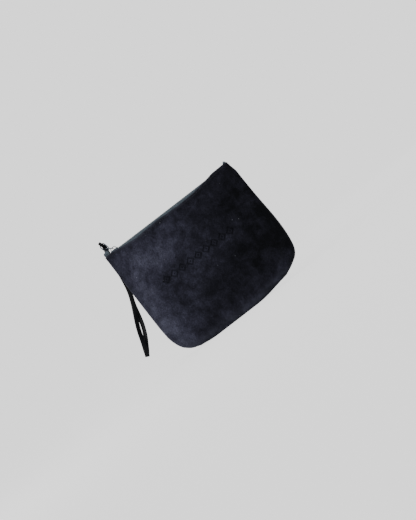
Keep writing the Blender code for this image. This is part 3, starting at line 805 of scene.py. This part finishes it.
def tab_lift(x, y, upper=True):
    """How far a tab's layer puffs up. The left tab has a hollow that the ring drops into."""
    if not upper:
        return 0.40 * TAB_LIFT * smoothstep(0.0985, 0.1035, abs(x))
    hollow = fade(0.0011, 0.0034, abs(y)) if x < 0 else 0.0
    puffed = TAB_LIFT * smoothstep(0.0955, 0.0990, abs(x))
    return puffed + hollow * (RING_LIFT * smoothstep(0.0990, 0.1035, abs(x)) - puffed)


def end_tab(name, side, node):
    """A fabric tab folded over one end of the zip, its fold a little crushed."""
    half = TAB_HIGH.y
    middle = (TAB_LOW.z + TAB_HIGH.z) / 2
    layer = (TAB_HIGH.z - TAB_LOW.z - TAB_THICKNESS) / 2
    inner, outer = TAB_LOW.x, TAB_HIGH.x - TAB_THICKNESS / 2 - (CORNER_IN if side > 0 else 0.0)
    line = [(inner + (outer - layer - inner) * k / 8, layer) for k in range(9)]
    line += [(outer - layer + layer * sin(pi * k / 12), layer * cos(pi * k / 12)) for k in range(1, 12)]
    line += [(outer - layer - (outer - layer - inner) * k / 8, -layer) for k in range(9)]
    across = np.linspace(-1, 1, 33)
    rows = []
    for x, z in line:
        crush = 0.00025 * sin(x * 900) * (z > 0)
        tuck = 1 - 0.05 * smoothstep(outer - 0.004, outer, x)
        share = (z / layer + 1) / 2
        rest = TAB_THICKNESS * (share - 0.5) * 1.1
        rows.append([])
        for v in across:
            low, high = -layer + tab_lift(side * x, half * v, False), layer + tab_lift(side * x, half * v)
            mean, spread = (low + high) / 2, (high - low) * (share - 0.5)
            pinch = float(smoothstep(0.70, 1.0, abs(v)))
            height = mean + spread * (1 - pinch) + rest * pinch
            rows[-1].append((side * x, half * tuck * v, middle + height + crush * (1 - v * v)))
    mesh = grid_mesh(name, np.array(rows), flip=side < 0)
    item = add_piece(name, mesh, TAPE_WEAVE, "pouch", "zip_tape", node)
    thicken(item, TAB_THICKNESS, 0.0, True)
    round_edges(item, 0.00028)


for name, side, phase, seed in (("front", -1, 0.0, 3), ("back", 1, 0.5, 8)):
    zip_tape("woven_tape_" + name, side, "zip_tape_" + name)
    zip_teeth("metal_teeth_" + name, side, phase, "zip_teeth_" + name, seed)
end_tab("folded_tab_left", -1, "end_tab_left")
end_tab("folded_tab_right", 1, "end_tab_right")
for node in ("top_stop_front", "top_stop_back", "bottom_stop"):
    stop = frame["nodes"][node].data
    stop.materials.clear()
    stop.materials.append(GUNMETAL)
    stop.shade_smooth()
    stop.set_sharp_from_angle(angle=radians(50))


# Slider, link and ring ------------------------------------------------

PLATE = 0.0010
TAPE_SLOT = 0.0011
KEEL = 0.0002                   # thickness of the wedge between the rows of teeth
KEEL_LENGTH = 0.0030
WIRE = 0.0014
LINK_WIDTH = 0.0070
LINK_LENGTH = 0.0095
LINK_CORNER = 0.0013
LINK_TILT = 35.0
RING_WIDTH = 0.0086
RING_LENGTH = 0.0140
RING_TILT = 75.0
PIVOT = np.array(JOINTS["link_hinge"]["pos_m"])
LINK_END = np.array(JOINTS["ring_hinge"]["pos_m"])
EYE = np.array(JOINTS["strap_swing"]["pos_m"])


def tilted(angle):
    return np.array((-cos(radians(angle)), 0.0, sin(radians(angle))))


def channel(way):
    """Half of the slider: a plate with two side walls, wide at the shoulders and narrower at the throat."""
    top = SLIDER_HIGH.z - ZIP
    half = SLIDER_HIGH.y
    slot = TAPE_SLOT / 2
    soft = 0.00032
    clear = CORD_Y + CORD_RADIUS + 0.00012          # the inner walls stay outside the tapes' cords
    stations = []
    length = SLIDER_HIGH.x - SLIDER_LOW.x
    for k in range(25):
        t = k / 24
        shoulder = 1 - 0.10 * smoothstep(0.35, 0.80, t)
        end = min(t, 1 - t) * length
        inset = 0.0011 * (1 - np.sqrt(1 - (1 - min(end / 0.0011, 1.0)) ** 2))
        width = max(half * float(shoulder) - float(inset), clear + 0.00025)
        inner = max(width - PLATE, clear)
        crown = 0.00018 * sin(pi * t)
        left = [(-width, slot), (-width, top - soft), (-width + soft, top), (-width * 0.5, top + crown * 0.8)]
        inside = [(inner, slot), (inner, top - PLATE)]
        outline = left + [(0.0, top + crown)] + mirrored(left) + inside + mirrored(inside)
        stations.append([(SLIDER_LOW.x + t * length, y, ZIP + way * z) for y, z in outline])
    return joined(np.array(stations))


def slider():
    """The slider's body, and the bent strip over it that the link hangs in."""
    start, top, thin = SLIDER_LOW.x, SLIDER_HIGH.z - ZIP - PLATE / 2, KEEL / 2
    keel = bevelled_box((start + 0.0004, -thin, ZIP - top), (start + KEEL_LENGTH, thin, ZIP + top), 0.0001)
    mesh = solid_mesh("zip_slider", [channel(1), channel(-1), keel], 34)
    item = add_piece("zip_slider", mesh, GUNMETAL, "slider", "gunmetal", "slider_body")
    round_edges(item, 0.00012, 50)

    half, thickness, width = (BAIL_HIGH.x - BAIL_LOW.x) / 2 - 0.0004, 0.0008, BAIL_HIGH.y
    middle, foot = (BAIL_LOW.x + BAIL_HIGH.x) / 2, SLIDER_HIGH.z - PLATE * 0.6
    rise = BAIL_HIGH.z - thickness / 2
    arch = [(-half, foot), (-half, foot + 0.4 * (rise - foot)), (-half * 0.94, foot + 0.72 * (rise - foot))]
    arch += [(-half * 0.74, foot + 0.93 * (rise - foot)), (-half * 0.45, rise), (0.0, rise + 0.0001)]
    arch += mirrored(arch[:-1])
    line = spline([(middle + x, 0.0, z) for x, z in arch], np.linspace(0, 1, 41))
    strip = [(0.82, -1), (0.95, -0.8), (1, -0.45), (1, 0.45), (0.95, 0.8), (0.82, 1)]
    strip += [(-a, -b) for a, b in strip]
    profile = [(a * width, b * thickness / 2) for a, b in strip]
    along = unit(np.gradient(line, axis=0))
    side = np.broadcast_to(np.array((0.0, 1.0, 0.0)), line.shape)
    bridge = solid_mesh("slider_bridge", [rings_between(line, side, np.cross(side, along), profile)])
    add_piece("slider_bridge", bridge, GUNMETAL, "slider", "gunmetal", "slider_bail")


def rounded_loop(start, along, across, length, width, radius, corner=12, straight=6):
    """Points round a rectangle with rounded corners that starts at start and runs length along."""
    outline = []
    for end, way, first in ((length, 1, 0.0), (length, -1, 90.0), (0.0, -1, 180.0), (0.0, 1, 270.0)):
        pivot = start + along * (end + (-radius if end else radius)) + across * way * (width / 2 - radius)
        for k in range(corner + 1):
            angle = radians(first + 90.0 * k / corner)
            outline.append(pivot + (across * cos(angle) + along * sin(angle)) * radius)
    points = []
    for a, b in zip(outline, outline[1:] + outline[:1]):
        gap = np.linalg.norm(b - a)
        steps = straight if gap > 3 * radius * radians(90 / corner) else 1
        if gap > 1e-7:
            points += [a + (b - a) * k / steps for k in range(steps)]
    return np.array(points)


def metal_loops():
    """The pull link and the ring, bent from round wire."""
    across = np.array((0.0, 1.0, 0.0))
    link = rounded_loop(PIVOT, tilted(LINK_TILT), across, LINK_LENGTH, LINK_WIDTH - WIRE, LINK_CORNER)
    wire = circle(WIRE / 2, 20)
    mesh = solid_mesh("wire_link", [sweep(link, np.cross(tilted(LINK_TILT), (0, 1, 0)), wire, closed=True)])
    add_piece("wire_link", mesh, GUNMETAL, "link", "gunmetal", "pull_link")
    up = tilted(RING_TILT)
    across = np.array((up[2], 0.0, -up[0]))
    bend = (RING_WIDTH - WIRE) / 2
    ring = rounded_loop(LINK_END - up * bend, up, across, RING_LENGTH - RING_WIDTH + 2 * bend, 2 * bend, bend)
    mesh = solid_mesh("wire_ring", [sweep(ring, (0, 1, 0), wire, closed=True)])
    add_piece("wire_ring", mesh, GUNMETAL, "ring", "gunmetal", "strap_ring")


slider()
metal_loops()


# Wrist strap ----------------------------------------------------------

STRAP_WIDTH = 0.0064
STRAP_THICKNESS = 0.0015
EYE_WIDTH = 0.0042
EYE_BORE = 0.0019
FOLD_RADIUS = 0.0021
STRAP_SPREAD = 0.0034
STRAP_TWIST = 28.0
STRAND_GAP = 0.0004
PARTED = (0.62, 1.03)           # shares of the way down between which the strands part
STRAP_LEAVES = unit(np.array((0.0, 1.0, 0.0)) - tilted(RING_TILT))
# The middle line of the folded strap from the ring to the fold, on the frame's route but for its tip
STRAP_LINE = [
    EYE,
    EYE + STRAP_LEAVES * 0.008,
    (-0.0995, 0.0098, 0.1780),
    (-0.1018, 0.0118, 0.1600),
    (-0.1042, 0.0148, 0.1400),
    (-0.1085, 0.0180, 0.1190),
    (-0.1160, 0.0213, 0.0990),
    (-0.1238, 0.0243, 0.0778),
    (-0.1325, 0.0268, 0.0562),
    (-0.1428, 0.0288, 0.0352),
]
STRAP_STEPS = 34


def strap_frame(t):
    """Middle point, direction, sideways and outward vectors of the folded strap at t."""
    here, ahead, behind = spline(STRAP_LINE, np.array((t, min(t + 0.01, 1.0), max(t - 0.01, 0.0))))
    along = unit(ahead - behind)
    across = unit(np.cross(along, (0.0, 1.0, 0.0)))
    return here, along, across, np.cross(across, along)


def swell(t, low, high):
    """From 0 at low up to 1 halfway and back to 0 at high."""
    return sin(pi * (t - low) / (high - low)) ** 2 if low < t < high else 0.0


def strap_sections():
    """Sections of the strap once round its loop: centre, sideways vector, outward vector and width."""
    together = STRAP_THICKNESS / 2 + STRAND_GAP / 2
    bend = EYE_BORE + STRAP_THICKNESS / 2
    first = 0.055               # where the strands leave the eye
    down, up, fold, eye = [], [], [], []
    for k in range(STRAP_STEPS + 1):
        t = first + (1 - first) * k / STRAP_STEPS
        here, along, across, out = strap_frame(t)
        spread = STRAP_SPREAD * swell(t, *PARTED) if k < STRAP_STEPS else 0.0
        apart = together + (FOLD_RADIUS - together) * min(1.0, max(0.0, (t - 0.4) / 0.5))
        width = EYE_WIDTH + (STRAP_WIDTH - EYE_WIDTH) * min(1.0, max(0.0, (t - 0.07) / 0.05))
        twist = radians(STRAP_TWIST) * spread / STRAP_SPREAD
        for strand, way in ((down, 1), (up, -1)):
            side = across * cos(twist) - out * way * sin(twist)
            centre = here + out * way * apart + across * way * spread
            strand.append((centre, side, np.cross(side, along) * way, width))
    here, along, across, out = strap_frame(1.0)
    for k in range(1, 6):
        angle = pi * k / 6
        away = out * cos(angle) + along * sin(angle)
        fold.append((here + away * FOLD_RADIUS, across, away, STRAP_WIDTH))
    here, along, across, out = strap_frame(0.0)
    for k in range(11):
        angle = radians(295 - 230 * k / 10)
        away = along * cos(angle) + out * sin(angle)
        eye.append((here + away * bend, across, away, EYE_WIDTH))
    return down + fold + up[::-1] + eye


def round_again(values, finer):
    """A closed row of values with a smooth curve through them, finer times as many."""
    values = np.asarray(values, float)
    padded = np.concatenate([values[-2:], values, values[:3]])
    span = len(padded) - 1
    places = (2 + np.arange(len(values) * finer) / finer) / span
    return spline(padded, places)


def wrist_strap():
    """The strap with rounded, painted edges and a pressed line along each edge."""
    centres, sides, aways, widths = (list(column) for column in zip(*strap_sections()))
    finer = 5
    centre = round_again(centres, finer)
    side, away = unit(round_again(sides, finer)), unit(round_again(aways, finer))
    half = round_again([(w,) for w in widths], finer)[:, 0] / 2
    thick = STRAP_THICKNESS / 2
    soft = 0.00050
    # From the middle of the outer face to one edge: share of the flat part, then a quarter round
    face = [(0.0, 0.00005), (0.45, 0.00004), (0.74, 0.0), (0.82, -0.00013), (0.90, 0.0)]
    outline = []
    for k in range(len(half)):
        flat = half[k] - soft
        quarter = [(flat * s, thick + lift) for s, lift in face]
        quarter += [(flat + soft * sin(pi * j / 8), thick - soft * (1 - cos(pi * j / 8))) for j in range(5)]
        right = quarter + [(s, -t) for s, t in quarter[::-1]]
        outline.append(right + mirrored(right)[1:-1])
    points, faces = rings_between(centre, side, away, np.array(outline), closed=True)
    mesh = solid_mesh("leather_strap", [(points, faces)], 60)
    around = len(outline[0])
    edge = np.array([[abs(s) / h for s, _ in ring] for ring, h in zip(outline, half)]).reshape(-1, around)
    paint(mesh, "worn", smoothstep(0.86, 1.0, edge))
    add_piece("leather_strap", mesh, STRAP_LEATHER, "strap", "strap_leather", "wrist_strap")


# Sewing ---------------------------------------------------------------

THREAD_RADIUS = 0.00026
STITCH = 0.0034
STITCH_LENGTH = 0.0027


def stitch(start, end, out):
    """One stitch: thread that comes up out of the material, lies on it and goes down again."""
    start, end, out = (np.asarray(v, float) for v in (start, end, out))
    heights = (-0.00030, 0.00005, 0.00022, 0.00026, 0.00022, 0.00005, -0.00030)
    shares = (0.0, 0.04, 0.2, 0.5, 0.8, 0.96, 1.0)
    points = [start + (end - start) * s + out * h for s, h in zip(shares, heights)]
    return sweep(spline(points, np.linspace(0, 1, 15)), out, circle(THREAD_RADIUS, 8))


def sew(name, stitches, body, *nodes):
    mesh = solid_mesh(name, [stitch(*ends) for ends in stitches], 60)
    add_piece(name, mesh, THREAD, body, "thread", *nodes)


def mouth_stitches(name, side, mesh, node):
    """The row that holds the leather's edge to a tape."""
    tree = BVHTree.FromPolygons([v.co[:] for v in mesh.vertices], [p.vertices[:] for p in mesh.polygons])
    reach = HALF - 0.0114
    count = int(2 * reach / STITCH)

    def on_leather(x):
        height = EDGE - STITCH_DROP + float(edge_wave(np.array(x), side)) * 0.9
        place, normal, _, _ = tree.ray_cast((x, side * 0.1, height), (0, -side, 0))
        return (place, normal) if normal.y * side > 0 else (place, -normal)

    rows = []
    for k in range(count):
        x = -reach + STITCH * (k + 0.5)
        one, normal = on_leather(x)
        two, _ = on_leather(x + STITCH_LENGTH)
        rows.append((one, two, normal))
    sew(name, rows, "pouch", node)


def tab_stitches(name, side, node):
    """The row through a tab's inner end, across the zip."""
    top = TAB_HIGH.z + 0.0001
    half = TAB_HIGH.y - 0.0014
    x = side * (TAB_LOW.x + 0.0016)
    step = 2 * half / 4
    rows = []
    for k in range(4):
        y = -half + step * (k + 0.12)
        ends = [(x, at, top + float(tab_lift(x, at))) for at in (y, y + step * 0.78)]
        rows.append((*ends, (0, 0, 1)))
    sew(name, rows, "pouch", node)


def strap_stitches():
    """The row through both strands below the ring, seen on the outer face and on the back."""
    rows = []
    reach = STRAP_THICKNESS + STRAND_GAP / 2 + 0.00005
    for k in range(5):
        t = 0.125 + 0.024 * k
        one, _, _, out = strap_frame(t)
        two, _, _, _ = strap_frame(t + 0.018)
        for way in (1, -1):
            rows.append((one + out * reach * way, two + out * reach * way, out * way))
    sew("strap_sewing", rows, "strap", "strap_stitch")


wrist_strap()
mouth_stitches("mouth_sewing_front", -1, front_mesh, "zip_stitch_front")
mouth_stitches("mouth_sewing_back", 1, back_mesh, "zip_stitch_back")
tab_stitches("tab_sewing_left", -1, "tab_stitch_left")
tab_stitches("tab_sewing_right", 1, "tab_stitch_right")
strap_stitches()


# Floor, light and camera ----------------------------------------------

PALE = 1.54
FLOOR_GREY = 0.08
FLOOR_GLOW = PALE * (1 - FLOOR_GREY)
FLOOR_HALF = 60.0


def floor():
    mesh = bpy.data.meshes.new("floor")
    square = [(x * FLOOR_HALF, y * FLOOR_HALF, 0) for x, y in ((-1, -1), (1, -1), (1, 1), (-1, 1))]
    mesh.from_pydata(square, [], [(0, 1, 2, 3)])
    paper = Nodes("paper_floor")
    paper.set(Base_Color=(FLOOR_GREY,) * 3, Roughness=1.0, Specular_IOR_Level=0.0)
    paper.set(Emission_Color=(1.0, 1.0, 1.0), Emission_Strength=FLOOR_GLOW)
    mesh.materials.append(paper.material)
    new_object("floor", mesh)


def world():
    scene_world = bpy.data.worlds.new("pale_room")
    bpy.context.scene.world = scene_world
    scene_world.use_nodes = True
    background = scene_world.node_tree.nodes["Background"]
    background.inputs["Color"].default_value = (PALE, PALE, PALE, 1.0)
    background.inputs["Strength"].default_value = 1.0


def area_light(name, place, size, energy, colour=(1.0, 1.0, 1.0)):
    light = bpy.data.lights.new(name, "AREA")
    light.shape = "DISK"
    light.size = size
    light.energy = energy
    light.color = colour
    item = new_object(name, light)
    item.location = place
    aim = Vector((0.0, 0.0, 0.09)) - item.location
    item.rotation_euler = aim.to_track_quat("-Z", "Y").to_euler()


def camera():
    """A long lens square to the front, level with the middle of the pouch and rolled over to one side."""
    distance, across, tall = 2.0, 0.0024, 0.0873
    roll = radians(37.6)
    frame_height = 0.702        # metres that the picture's height takes in at the pouch
    lens = bpy.data.cameras.new("camera")
    lens.sensor_width = 36.0
    lens.lens = lens.sensor_width * distance / frame_height
    lens.clip_start, lens.clip_end = 0.05, 200.0
    item = new_object("camera", lens)
    up = Vector((sin(roll), 0.0, cos(roll)))
    back = Vector((0.0, -1.0, 0.0))
    turn = Matrix((up.cross(back), up, back)).transposed()
    item.matrix_world = Matrix.Translation((across, -distance, tall)) @ turn.to_4x4()
    bpy.context.scene.camera = item


floor()
world()
area_light("key", (-0.75, -0.60, 0.42), 0.45, 14.0, (1.0, 0.99, 0.98))
area_light("rim", (0.9, 1.2, 1.0), 0.9, 10.0, (0.95, 0.98, 1.0))
camera()
